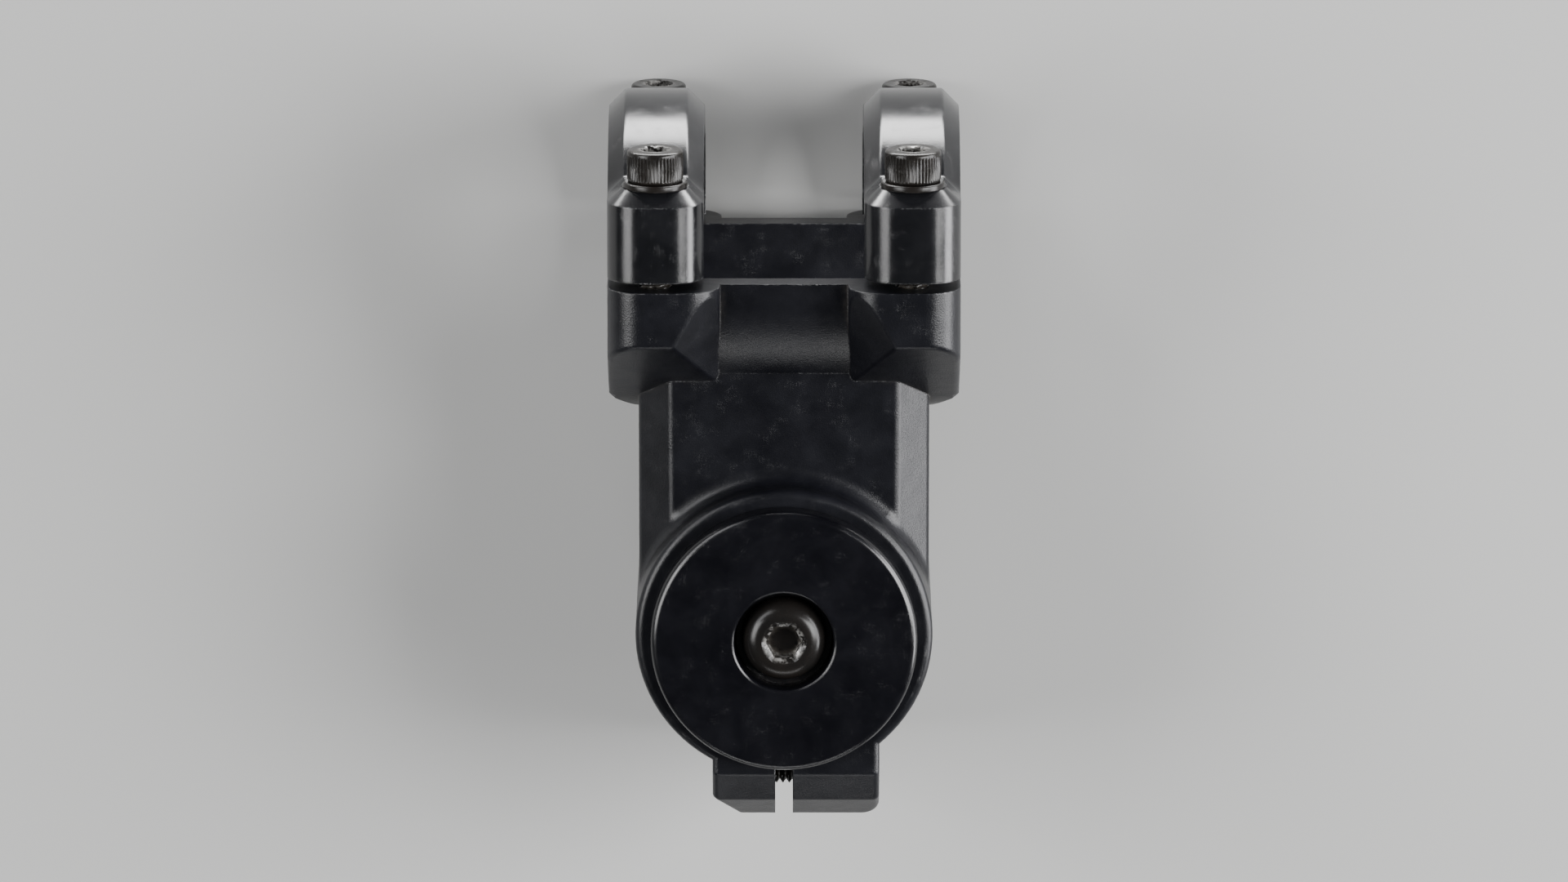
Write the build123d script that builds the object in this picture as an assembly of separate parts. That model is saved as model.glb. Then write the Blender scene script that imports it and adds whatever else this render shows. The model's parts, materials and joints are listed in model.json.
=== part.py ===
from build123d import *
import os
from math import acos, atan2, cos, hypot, sin

# Short handlebar stem with a two-strap bar clamp, a split steerer clamp and a preload cap.
# All sizes are in millimetres. The origin is on the steerer axis at the underside of the
# steerer clamp. +Z runs up the steerer, and the handlebar is clamped ahead of it, at -Y.
# Left and right are the rider's: left is +X, right is -X.

# Overall sizes
reach = 45.0              # steerer axis to handlebar axis
steerer_d = 28.6          # steerer tube that the stem clamps
bar_d = 31.8              # handlebar that the straps clamp
clamp_height = 40.0       # height of the steerer clamp
bar_clamp_width = 44.0    # across both straps
bar_rise = 0.0            # handlebar axis above the middle of the steerer clamp
clamp_clearance = 0.05    # radial room round the steerer and the handlebar

# Steerer clamp
steerer_wall = 4.3
bore_land = 12.0          # height of the gripping land at each end of the bore
bore_relief = 0.5         # how much wider the bore is between the two lands
slit_width = 2.2
collar_edge = 1.0         # rounding of the clamp's upper and lower rims

# Neck between the two clamps
neck_width = 36.5
neck_drop = 5.0           # neck's upper face below the top of the steerer clamp
neck_chamfer = 4.0
neck_edge = 1.2           # rounding of the bevels' edges
hollow_width = 17.0       # passage from the bar seat to the steerer bore
hollow_height = 19.0
hollow_corner = 4.0
collar_root_fillet = 2.0

# Handlebar seat and straps
seat_wall = 3.5
seat_edge = 0.8
seat_corner = (4.5, 3.2)  # bevel of the seat's rear corners: across, ahead
strap_width = 12.0
strap_thickness = 4.6
strap_gap = 1.2           # gap between a strap and the body when the bar is clamped
strap_lug_depth = 12.9    # front of a strap's lug, ahead of the handlebar axis
strap_bevel = 2.1
strap_root_fillet = 0.8
strap_edge = 0.4          # rounding between a strap's flat band and its bevels
lug_edge = 4.4            # rounding of a lug's outer corners
lug_wall = 2.0            # metal between the handlebar bore and a bolt hole
lug_cover = 2.3           # metal outside a bolt hole
forged_edge = 0.8         # rounding of the body's other outer edges
lug_flat = 7.0            # level part of a body lug's top, behind the split
lug_spread = 2.0          # how much wider a body lug is than its strap
lug_facet = (10.0, 0.55, 0.9)  # inner facet of a lug: where it starts, spread per mm back and per mm down
soft_edge = 0.5           # small bevel of outer edges

# Screws and washers
thread_clearance = 0.05   # radial room between a screw and its threaded hole
through_clearance = 0.25  # radial room between a screw and a plain hole
spotface_clearance = 0.2  # radial room round a washer in its seat
spotface_depth = 0.3
thread_run_out = 1.5      # depth of a threaded hole past the screw's tip

# M4 socket head screws of the straps, with a thread pitch of 0.7
strap_screw_d = 4.0
strap_screw_length = 20.0
strap_screw_head_d = 7.0
strap_screw_head_h = 4.0
strap_screw_hex = 3.0     # across the flats of the socket
strap_screw_hex_depth = 2.0
strap_washer_d = 8.0
strap_washer_thickness = 0.8

# M5 socket head screws of the pinch lugs, with a thread pitch of 0.8
pinch_screw_d = 5.0
pinch_screw_length = 14.0
pinch_screw_head_d = 8.5
pinch_screw_head_h = 5.0
pinch_screw_hex = 4.0
pinch_screw_hex_depth = 2.6
pinch_washer_d = 9.0
pinch_washer_thickness = 1.0

# Pinch lugs behind the steerer clamp
pinch_wall = 2.4          # metal between the steerer bore and a pinch screw's hole
pinch_cover = 2.7         # metal behind a pinch screw's hole
pinch_spacing = 18.0      # between the two pinch screws
head_side = 12.0          # lug's outer face on the screw heads' side
thread_side = 9.0         # lug's outer face on the threaded side
grip_under_head = 5.5     # middle of the slit to the seat of the washers
pinch_slope = (3.9, 2.4)  # first slope at the lugs' upper and lower rear edges: length, drop
pinch_steep = (3.0, 4.5)  # second, steeper slope behind it
pinch_corner = 2.2        # rounding of the rear corner on the screw heads' side
pinch_bevel = 3.4         # bevel of the rear corner on the threaded side
pinch_notch_depth = 2.4   # hollow between the two pinch screws, at the back
pinch_notch_height = 5.0

# Preload cap, its button head screw and the star nut
cap_inset = 1.95          # cap's rim inside the steerer clamp's outer face
cap_thickness = 3.4
cap_edge = 0.9
cap_gap = 0.05            # cap's underside above the steerer clamp
cap_skirt_clearance = 0.2  # radial room between the cap's skirt and the steerer's inside
cap_skirt_depth = 3.0
steerer_setback = 3.0     # top of the steerer below the top of the clamp
cap_screw_d = 6.0
cap_screw_length = 25.0
cap_screw_head_d = 10.5
cap_screw_head_h = 3.3
cap_screw_hex = 4.0
cap_screw_hex_depth = 2.0
cap_recess_d = 12.4
cap_recess_depth = 3.0
cap_screw_room = 0.3      # radial room round the screw in the cap
steerer_tube_wall = 2.3   # the star nut grips the inside of the steerer tube
star_nut_depth = 11.0     # star nut's top below the top of the steerer
star_sleeve_d = 8.6
star_sleeve_length = 13.0
star_thickness = 0.9
star_spacing = 6.0
star_first = 2.5          # upper star below the sleeve's top
star_dish = 1.6           # how far a star's rim stands above its middle
star_slots = 6
star_slot_width = 3.0
star_hub_d = 14.0

# Places worked out from the sizes above
steerer_r = steerer_d / 2 + clamp_clearance
bar_r = bar_d / 2 + clamp_clearance
collar_r = steerer_r + steerer_wall
bar_y = -reach
bar_z = clamp_height / 2 + bar_rise
seat_r = bar_r + seat_wall
strap_r = bar_r + strap_thickness
strap_hole_r = strap_screw_d / 2 + through_clearance
pinch_hole_r = pinch_screw_d / 2 + through_clearance
screw_rise = bar_r + lug_wall + strap_hole_r      # strap screws above and below the bar
lug_half = screw_rise + strap_hole_r + lug_cover  # top of a lug above the bar's axis
strap_x = bar_clamp_width / 2 - strap_width / 2
washer_seat_y = bar_y - strap_lug_depth + spotface_depth
strap_screw_y = washer_seat_y - strap_washer_thickness
pinch_y = steerer_r + pinch_wall + pinch_hole_r
pinch_back = pinch_y + pinch_hole_r + pinch_cover
pinch_screw_x = -(grip_under_head + pinch_washer_thickness)
pinch_levels = (clamp_height / 2 + pinch_spacing / 2, clamp_height / 2 - pinch_spacing / 2)
steerer_inside_r = steerer_d / 2 - steerer_tube_wall
cap_r = collar_r - cap_inset
cap_bottom = clamp_height + cap_gap
cap_top = cap_bottom + cap_thickness
cap_seat = cap_top - cap_recess_depth
star_top = clamp_height - steerer_setback - star_nut_depth


def box_between(low, high):
    """Box from its lowest to its highest corner."""
    size = [b - a for a, b in zip(low, high)]
    middle = [(a + b) / 2 for a, b in zip(low, high)]
    return Pos(*middle) * Box(*size)


def rod(radius, start, end, axis):
    """Cylinder from one place to another along axis X, Y or Z through the other two places."""
    middle = [(a + b) / 2 for a, b in zip(start, end)]
    length = sum(abs(b - a) for a, b in zip(start, end))
    turn = {"X": Rot(0, 90, 0), "Y": Rot(90, 0, 0), "Z": Rot(0, 0, 0)}[axis]
    return Pos(*middle) * turn * Cylinder(radius, length)


def rounded_prism(x, y_front, y_back, width, z_low, z_high, corner):
    """Bar along Y whose section is a rounded rectangle in X and Z."""
    section = Plane.XZ * Pos(x, (z_low + z_high) / 2) * RectangleRounded(width, z_high - z_low, corner)
    return extrude(Pos(0, y_back, 0) * section, y_back - y_front)


def circle_edges(shape, radius):
    """Edges of a shape that are arcs of this radius."""
    arcs = shape.edges().filter_by(GeomType.CIRCLE)
    return arcs.filter_by(lambda edge: abs(edge.radius - radius) < 1e-4)


# Stem body

def slope_foot():
    """Where a line down from the rear edge of a lug's top just touches the seat's shell."""
    angle = atan2(lug_flat, lug_half) + acos(seat_r / hypot(lug_flat, lug_half))
    return bar_y + seat_r * sin(angle), seat_r * cos(angle)


def lug_pillar(side):
    """Upper and lower lug behind one strap, in one. Their backs slope down onto the seat's shell."""
    width = strap_width + lug_spread
    x = side * (bar_clamp_width - width) / 2
    foot_y, foot_rise = slope_foot()
    column = rounded_prism(x, bar_y, foot_y, width, bar_z - lug_half, bar_z + lug_half, lug_edge)
    outline = Polyline(
        (bar_y, bar_z - lug_half), (bar_y + lug_flat, bar_z - lug_half), (foot_y, bar_z - foot_rise),
        (foot_y, bar_z + foot_rise), (bar_y + lug_flat, bar_z + lug_half), (bar_y, bar_z + lug_half),
        (bar_y, bar_z - lug_half),
    )
    pillar = column & extrude(Plane.YZ * make_face(outline.edges()), bar_clamp_width, both=True)
    start, spread_back, spread_down = lug_facet
    for up in (1, -1):
        edge = (side * start, bar_y, bar_z + up * lug_half)
        facet = Plane(origin=edge, z_dir=(-side, spread_back, up * spread_down))
        pillar = pillar - extrude(facet * Rectangle(200, 200), 100)
    outer = pillar.edges().filter_by(lambda edge: edge.center().Y > bar_y + 0.01)
    return fillet(outer, forged_edge)


def bar_seat():
    """Half shell behind the handlebar, as wide as the two straps."""
    half_width = bar_clamp_width / 2
    shell = rod(seat_r, (-half_width, bar_y, bar_z), (half_width, bar_y, bar_z), "X")
    rear = box_between((-half_width, bar_y, bar_z - seat_r), (half_width, bar_y + seat_r, bar_z + seat_r))
    shell = chamfer(circle_edges(shell & rear, seat_r), seat_edge)
    across, ahead = seat_corner
    for side in (1, -1):
        corner = (side * half_width, bar_y + seat_r - ahead, bar_z)
        bevel = Plane(origin=corner, z_dir=(side * ahead, across, 0))
        shell = shell - extrude(bevel * Rectangle(200, 200), 100)
    return shell


def neck():
    """Bevelled beam from the bar seat to the steerer clamp."""
    beam = box_between(
        (-neck_width / 2, bar_y + seat_wall, neck_drop),
        (neck_width / 2, 0, clamp_height - neck_drop),
    )
    beam = chamfer(beam.edges().filter_by(Axis.Y), neck_chamfer)
    return fillet(beam.edges().filter_by(Axis.Y), neck_edge)


def pinch_lugs():
    """Block behind the steerer clamp that the two pinch screws draw together."""
    steep_y = pinch_back - pinch_steep[0]
    slope_y = steep_y - pinch_slope[0]
    half_profile = [
        (0, 0), (slope_y, 0), (steep_y, pinch_slope[1]), (pinch_back, pinch_slope[1] + pinch_steep[1]),
    ]
    profile = half_profile + [(y, clamp_height - z) for y, z in reversed(half_profile)]
    side_view = make_face(Polyline(*profile, close=True).edges())
    lugs = extrude(Plane.YZ * side_view, head_side + thread_side, both=True)
    top_view = make_face(Polyline(
        (-head_side, 0), (-head_side, pinch_back), (thread_side - pinch_bevel, pinch_back),
        (thread_side, pinch_back - pinch_bevel), (thread_side, 0), close=True,
    ).edges())
    head_corner = top_view.vertices().sort_by_distance((-head_side, pinch_back, 0))[0]
    lugs = lugs & extrude(fillet(head_corner, pinch_corner), clamp_height)
    notch_low = clamp_height / 2 - pinch_notch_height / 2
    notch = box_between(
        (-head_side - 1, pinch_back - pinch_notch_depth, notch_low),
        (thread_side + 1, pinch_back + 1, notch_low + pinch_notch_height),
    )
    outer = lugs.edges().filter_by(lambda edge: edge.center().Y > 1)
    return fillet(outer, forged_edge) - notch


def bore_cuts():
    """Everything cut for the steerer: two gripping lands, the relief between them and the slit."""
    through = rod(steerer_r, (0, 0, -1), (0, 0, clamp_height + 1), "Z")
    relief = rod(steerer_r + bore_relief, (0, 0, bore_land), (0, 0, clamp_height - bore_land), "Z")
    slit = box_between((-slit_width / 2, 0, -1), (slit_width / 2, pinch_back + 1, clamp_height + 1))
    return through + relief + slit


def pinch_cuts():
    """Plain hole, washer seat and threaded hole for each pinch screw."""
    thread_r = pinch_screw_d / 2 + thread_clearance
    spotface_r = pinch_washer_d / 2 + spotface_clearance
    cuts = []
    for z in pinch_levels:
        cuts.append(rod(pinch_hole_r, (-head_side - 1, pinch_y, z), (0, pinch_y, z), "X"))
        cuts.append(rod(thread_r, (0, pinch_y, z), (thread_side + 1, pinch_y, z), "X"))
        cuts.append(rod(spotface_r, (-head_side - 1, pinch_y, z), (-grip_under_head, pinch_y, z), "X"))
    return cuts


def strap_thread_holes():
    """Blind threaded holes for the four strap screws."""
    thread_r = strap_screw_d / 2 + thread_clearance
    tip_y = strap_screw_y + strap_screw_length + thread_run_out
    holes = []
    for side in (1, -1):
        for up in (1, -1):
            x, z = side * strap_x, bar_z + up * screw_rise
            holes.append(rod(thread_r, (x, bar_y - 1, z), (x, tip_y, z), "Y"))
    return holes


def stem_body():
    """Forged body: bar seat, neck and split steerer clamp in one piece."""
    collar = rod(collar_r, (0, 0, 0), (0, 0, clamp_height), "Z")
    collar = fillet(circle_edges(collar, collar_r), collar_edge)
    body = collar + neck()
    root = body.edges().filter_by(
        lambda edge: edge.geom_type == GeomType.CIRCLE
        and abs(edge.radius - collar_r) < 1e-4
        and neck_drop - 0.1 < edge.center().Z < clamp_height - neck_drop + 0.1
    )
    body = fillet(root, collar_root_fillet)
    body = body + pinch_lugs()
    body = body + bar_seat()
    for side in (1, -1):
        body = body + lug_pillar(side)
    half_width = bar_clamp_width / 2 + 1
    body = body - rod(bar_r, (-half_width, bar_y, bar_z), (half_width, bar_y, bar_z), "X")
    hollow = rounded_prism(
        0, bar_y, 0, hollow_width, bar_z - hollow_height / 2, bar_z + hollow_height / 2, hollow_corner
    )
    body = body - hollow - bore_cuts()
    for cut in pinch_cuts() + strap_thread_holes():
        body = body - cut
    return body


# Straps

def bar_strap(side):
    """One of the two straps that hold the handlebar against its seat."""
    front_y = bar_y - strap_lug_depth
    split_y = bar_y - strap_gap
    spotface_r = strap_washer_d / 2 + spotface_clearance
    x_low, x_high = side * strap_x - strap_width / 2, side * strap_x + strap_width / 2
    band = rod(strap_r, (x_low, bar_y, bar_z), (x_high, bar_y, bar_z), "X")
    lugs = box_between((x_low, front_y, bar_z - lug_half), (x_high, bar_y, bar_z + lug_half))
    blank = band + lugs
    root = blank.edges().filter_by(Axis.X).filter_by(
        lambda edge: abs(edge.center().Y - front_y) < 0.01
        and abs(edge.center().Z - bar_z) < strap_r
    )
    blank = fillet(root, strap_root_fillet)
    outline = rounded_prism(
        side * strap_x, bar_y - strap_r, split_y, strap_width, bar_z - lug_half, bar_z + lug_half, lug_edge
    )
    strap = blank & outline
    strap = chamfer(circle_edges(strap, strap_r), strap_bevel)
    strap = fillet(circle_edges(strap, strap_r), strap_edge)
    strap = strap - rod(bar_r, (x_low - 1, bar_y, bar_z), (x_high + 1, bar_y, bar_z), "X")
    for up in (1, -1):
        x, z = side * strap_x, bar_z + up * screw_rise
        strap = strap - rod(strap_hole_r, (x, front_y - 1, z), (x, bar_y, z), "Y")
        strap = strap - rod(spotface_r, (x, bar_y - strap_r, z), (x, washer_seat_y, z), "Y")
    return strap


# Screws and washers, each along +Z with its head up and its seat at the origin

def socket_screw(diameter, length, head_d, head_h, hex_size, hex_depth):
    """Socket head cap screw."""
    head = Pos(0, 0, head_h / 2) * Cylinder(head_d / 2, head_h)
    head = chamfer(head.edges().filter_by(GeomType.CIRCLE).sort_by(Axis.Z)[-1], soft_edge)
    shank = Pos(0, 0, -length / 2) * Cylinder(diameter / 2, length)
    shank = chamfer(shank.edges().filter_by(GeomType.CIRCLE).sort_by(Axis.Z)[0], soft_edge)
    socket = extrude(RegularPolygon(hex_size / 2, 6, major_radius=False), hex_depth)
    return head + shank - Pos(0, 0, head_h - hex_depth) * socket


def strap_screw():
    """Screw of a handlebar strap."""
    return socket_screw(
        strap_screw_d, strap_screw_length, strap_screw_head_d, strap_screw_head_h,
        strap_screw_hex, strap_screw_hex_depth,
    )


def pinch_screw():
    """Screw across the slit of the steerer clamp."""
    return socket_screw(
        pinch_screw_d, pinch_screw_length, pinch_screw_head_d, pinch_screw_head_h,
        pinch_screw_hex, pinch_screw_hex_depth,
    )


def button_screw(length):
    """Button head screw: its head is a low dome with a flat top."""
    flat_r = cap_screw_hex * 0.72
    rim_h = cap_screw_head_h * 0.2
    outline = Polyline((0, 0), (cap_screw_head_d / 2, 0), (cap_screw_head_d / 2, rim_h))
    dome = ThreePointArc(
        (cap_screw_head_d / 2, rim_h),
        ((cap_screw_head_d / 2 + flat_r) / 2 + 0.45, (rim_h + cap_screw_head_h) / 2 + 0.45),
        (flat_r, cap_screw_head_h),
    )
    close = Polyline((flat_r, cap_screw_head_h), (0, cap_screw_head_h), (0, 0))
    head = revolve(Plane.XZ * make_face([*outline.edges(), dome.edge(), *close.edges()]), Axis.Z)
    shank = Pos(0, 0, -length / 2) * Cylinder(cap_screw_d / 2, length)
    shank = chamfer(shank.edges().filter_by(GeomType.CIRCLE).sort_by(Axis.Z)[0], soft_edge)
    socket = extrude(RegularPolygon(cap_screw_hex / 2, 6, major_radius=False), cap_screw_hex_depth)
    return head + shank - Pos(0, 0, cap_screw_head_h - cap_screw_hex_depth) * socket


def washer(outer_d, hole_r, thickness):
    """Small flat washer whose underside is at the origin."""
    ring = Pos(0, 0, thickness / 2) * Cylinder(outer_d / 2, thickness)
    ring = chamfer(ring.edges().filter_by(GeomType.CIRCLE).sort_by(Axis.Z)[-1], thickness / 4)
    return ring - Cylinder(hole_r, 4 * thickness)


# Preload cap and star nut

def top_cap():
    """Round cap that bears on the stem and centres in the steerer tube."""
    disc = Pos(0, 0, (cap_bottom + cap_top) / 2) * Cylinder(cap_r, cap_thickness)
    disc = fillet(disc.edges().filter_by(GeomType.CIRCLE).sort_by(Axis.Z)[-1], cap_edge)
    skirt_bottom = clamp_height - cap_skirt_depth - steerer_setback / 2
    skirt = rod(steerer_inside_r - cap_skirt_clearance, (0, 0, skirt_bottom), (0, 0, cap_bottom), "Z")
    recess = rod(cap_recess_d / 2, (0, 0, cap_seat), (0, 0, cap_top + 1), "Z")
    hole = rod(cap_screw_d / 2 + cap_screw_room, (0, 0, skirt_bottom - 1), (0, 0, cap_top + 1), "Z")
    cap = disc + skirt - recess - hole
    return chamfer(circle_edges(cap, cap_recess_d / 2).sort_by(Axis.Z)[-1], soft_edge)


def star_sleeve():
    """Threaded sleeve of the star nut."""
    tube = rod(star_sleeve_d / 2, (0, 0, star_top - star_sleeve_length), (0, 0, star_top), "Z")
    return tube - rod(cap_screw_d / 2 + thread_clearance, (0, 0, star_top - 20), (0, 0, star_top + 1), "Z")


def star_spring(index):
    """Slotted spring disc of the star nut, dished upwards so that it bites the tube."""
    z = star_top - star_first - index * star_spacing
    inner_r, hub_r, rim_r = star_sleeve_d / 2, star_hub_d / 2, steerer_inside_r
    low = Polyline((inner_r, 0), (hub_r, 0), (rim_r, star_dish))
    high = Polyline(
        (rim_r, star_dish), (rim_r, star_dish + star_thickness), (hub_r, star_thickness),
        (inner_r, star_thickness), (inner_r, 0),
    )
    disc = revolve(Plane.XZ * make_face([*low.edges(), *high.edges()]), Axis.Z)
    for k in range(star_slots):
        slot = Rot(0, 0, k * 360 / star_slots) * box_between(
            (hub_r, -star_slot_width / 2, -1), (rim_r + 1, star_slot_width / 2, 2 * star_dish + 1)
        )
        disc = disc - slot
    return Pos(0, 0, z) * disc


def build():
    """Every piece by its node's name."""
    nodes = {"stem_body": stem_body()}
    for side_name, side in (("left", 1), ("right", -1)):
        nodes[f"{side_name}_bar_strap"] = bar_strap(side)
        for level_name, up in (("upper", 1), ("lower", -1)):
            x, z = side * strap_x, bar_z + up * screw_rise
            seat = Plane(origin=(x, washer_seat_y, z), x_dir=(1, 0, 0), z_dir=(0, -1, 0))
            strap_washer = washer(strap_washer_d, strap_hole_r, strap_washer_thickness)
            nodes[f"{level_name}_{side_name}_strap_washer"] = seat * strap_washer
            head_seat = Plane(origin=(x, strap_screw_y, z), x_dir=(1, 0, 0), z_dir=(0, -1, 0))
            nodes[f"{level_name}_{side_name}_strap_screw"] = head_seat * strap_screw()
    for level_name, z in zip(("upper", "lower"), pinch_levels):
        seat = Plane(origin=(-grip_under_head, pinch_y, z), x_dir=(0, 1, 0), z_dir=(-1, 0, 0))
        pinch_washer = washer(pinch_washer_d, pinch_hole_r, pinch_washer_thickness)
        nodes[f"{level_name}_pinch_washer"] = seat * pinch_washer
        head_seat = Plane(origin=(pinch_screw_x, pinch_y, z), x_dir=(0, 1, 0), z_dir=(-1, 0, 0))
        nodes[f"{level_name}_pinch_screw"] = head_seat * pinch_screw()
    nodes["top_cap"] = top_cap()
    nodes["preload_screw"] = Pos(0, 0, cap_seat) * button_screw(cap_screw_length)
    nodes["star_nut_sleeve"] = star_sleeve()
    nodes["star_nut_upper_spring"] = star_spring(0)
    nodes["star_nut_lower_spring"] = star_spring(1)
    return nodes


if __name__ == "__main__":
    os.makedirs("parts", exist_ok=True)
    for name, shape in build().items():
        export_step(shape, f"parts/{name}.step")
        print(name, round(shape.volume, 1))
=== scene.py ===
"""Looks for a short handlebar stem: finishes, threaded screws, washers, cap and stage."""

import json
import math

import bmesh
import bpy
from mathutils import Matrix, Vector


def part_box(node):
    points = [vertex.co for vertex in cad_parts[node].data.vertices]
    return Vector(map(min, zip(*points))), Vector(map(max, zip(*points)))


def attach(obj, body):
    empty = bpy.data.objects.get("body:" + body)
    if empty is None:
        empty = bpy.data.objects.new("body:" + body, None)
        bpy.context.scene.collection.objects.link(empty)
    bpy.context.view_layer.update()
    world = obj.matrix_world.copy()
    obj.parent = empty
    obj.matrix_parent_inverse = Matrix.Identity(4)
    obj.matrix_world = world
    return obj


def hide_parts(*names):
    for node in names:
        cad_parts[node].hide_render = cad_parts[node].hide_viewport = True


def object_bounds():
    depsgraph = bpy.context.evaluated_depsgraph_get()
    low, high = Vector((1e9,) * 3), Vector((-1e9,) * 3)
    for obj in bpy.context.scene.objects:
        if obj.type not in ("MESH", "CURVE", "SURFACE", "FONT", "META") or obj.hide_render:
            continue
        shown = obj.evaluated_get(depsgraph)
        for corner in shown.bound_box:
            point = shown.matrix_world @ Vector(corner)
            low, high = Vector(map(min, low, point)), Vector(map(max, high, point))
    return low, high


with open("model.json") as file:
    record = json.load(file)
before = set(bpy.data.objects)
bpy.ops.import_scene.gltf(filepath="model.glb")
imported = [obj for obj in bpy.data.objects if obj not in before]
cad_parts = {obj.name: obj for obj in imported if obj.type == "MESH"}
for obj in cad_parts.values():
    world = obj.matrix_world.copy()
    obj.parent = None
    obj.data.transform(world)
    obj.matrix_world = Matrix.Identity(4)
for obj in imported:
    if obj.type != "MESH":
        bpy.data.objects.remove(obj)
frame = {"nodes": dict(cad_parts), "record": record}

bl_info = {
    "name": "Handlebar Stem Looks",
    "version": (1, 0, 0),
    "blender": (4, 5, 0),
    "location": "View3D > Sidebar > Stem",
    "description": "Finishes a short handlebar stem and makes its screws, washers and cap",
    "category": "Object",
}

MM = 0.001
CAD_BOX = [list(corner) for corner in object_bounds()]
NODES = frame["nodes"]
BODIES = frame["record"]["behaviour"]["bodies"]

STRAP_SCREWS = [f"{level}_{side}_strap_screw" for side in ("left", "right")
                for level in ("upper", "lower")]
PINCH_SCREWS = ["upper_pinch_screw", "lower_pinch_screw"]
FORWARD, RIGHT, UP = Vector((0, -1, 0)), Vector((-1, 0, 0)), Vector((0, 0, 1))

# Marks that a profile's rows carry, from 0 to 1
MARKS = ("hexagon", "knurl", "thread")
THREAD_FLATS = (0.14, 0.78)      # half pitch, as shares, where a thread's flank starts and ends
WELD = 2e-7                      # metres between points that close a seam or pole
SHARP_ANGLE = math.radians(32)   # edges sharper than this aren't smoothed

# Sizes that the CAD fixes, in millimetres
STRAP_SHANK, PINCH_SHANK, PRELOAD_SHANK = 1.99, 2.49, 2.99   # radii over the threads
STRAP_HEAD, PINCH_HEAD, BUTTON_HEAD = 4.0, 5.0, 3.3          # heights of the heads
STRAP_WASHER_HOLE, PINCH_WASHER_HOLE = 2.25, 2.75            # radii of the washers' holes
SHANK_IN_HEAD = 0.3                                          # shank's end above its head's seat

PLAIN, COOL = (1.0, 1.0, 1.0), (0.98, 0.98, 1.0)

# Softboxes that face the middle of the stem: name, place, width, height, watts and colour
SOFTBOXES = (
    ("high_right_softbox", (-0.85, -0.15, 0.8), 0.6, 0.6, 28, PLAIN),
    ("high_left_softbox", (0.9, -0.1, 0.8), 0.6, 0.6, 18, PLAIN),
    ("right_softbox", (-0.9, -0.08, 0.2), 1.0, 0.4, 23, COOL),
    ("left_softbox", (0.64, -0.54, 0.48), 0.7, 0.3, 6, COOL),
    ("rear_softbox", (0.0, 0.88, 0.45), 0.8, 0.12, 3, PLAIN),
)


# Sizes and colours that a user would change

class StemScrewSizes(bpy.types.PropertyGroup):
    """Sizes of the threads and heads, in metres."""
    strap_pitch: bpy.props.FloatProperty(
        name="Strap Thread Pitch", description="Distance from one M4 thread to the next",
        default=0.7 * MM, unit="LENGTH")
    pinch_pitch: bpy.props.FloatProperty(
        name="Pinch Thread Pitch", description="Distance from one M5 thread to the next",
        default=0.8 * MM, unit="LENGTH")
    preload_pitch: bpy.props.FloatProperty(
        name="Preload Thread Pitch", description="Distance from one M6 thread to the next",
        default=1.0 * MM, unit="LENGTH")
    thread_depth: bpy.props.FloatProperty(
        name="Thread Depth", description="Height of a thread, as a share of its pitch",
        default=0.54, subtype="FACTOR")
    rows_per_turn: bpy.props.IntProperty(
        name="Rows per Turn", description="Mesh rows along one turn of a thread", default=8)
    shank_segments: bpy.props.IntProperty(
        name="Shank Segments", description="Mesh segments round a shank", default=40)
    knurls: bpy.props.IntProperty(
        name="Knurls", description="Ridges round a socket head", default=48)
    knurl_depth: bpy.props.FloatProperty(
        name="Knurl Depth", description="Depth of the grooves round a socket head",
        default=0.13 * MM, unit="LENGTH")
    strap_socket: bpy.props.FloatProperty(
        name="Strap Socket", description="Hexagon socket of a strap screw across its flats",
        default=3.0 * MM, unit="LENGTH")
    socket: bpy.props.FloatProperty(
        name="Socket", description="Hexagon socket of the other screws across its flats",
        default=4.0 * MM, unit="LENGTH")


class StemFinishColours(bpy.types.PropertyGroup):
    """Base colours of the finishes."""
    body: bpy.props.FloatVectorProperty(
        name="Body", description="Blasted black anodising on the body",
        size=4, subtype="COLOR", default=(0.0022, 0.0023, 0.0033, 1))
    strap: bpy.props.FloatVectorProperty(
        name="Straps", description="Smooth black anodising on the two straps",
        size=4, subtype="COLOR", default=(0.0024, 0.0025, 0.003, 1))
    cap: bpy.props.FloatVectorProperty(
        name="Cap", description="Turned black anodising on the cap",
        size=4, subtype="COLOR", default=(0.0015, 0.0015, 0.0022, 1))
    bare: bpy.props.FloatVectorProperty(
        name="Bare Aluminium", description="Metal that shows where an edge is worn",
        size=4, subtype="COLOR", default=(0.52, 0.52, 0.53, 1))
    oxide: bpy.props.FloatVectorProperty(
        name="Black Oxide", description="Finish of the screws and washers",
        size=4, subtype="COLOR", default=(0.0042, 0.0041, 0.0041, 1))
    steel: bpy.props.FloatVectorProperty(
        name="Bare Steel", description="Steel that shows where a tool has worn the finish",
        size=4, subtype="COLOR", default=(0.46, 0.45, 0.43, 1))
    zinc: bpy.props.FloatVectorProperty(
        name="Zinc", description="Plating of the star nut",
        size=4, subtype="COLOR", default=(0.55, 0.53, 0.47, 1))
    dust: bpy.props.FloatVectorProperty(
        name="Dust", description="Road dust in the hollows",
        size=4, subtype="COLOR", default=(0.19, 0.17, 0.145, 1))


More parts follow.
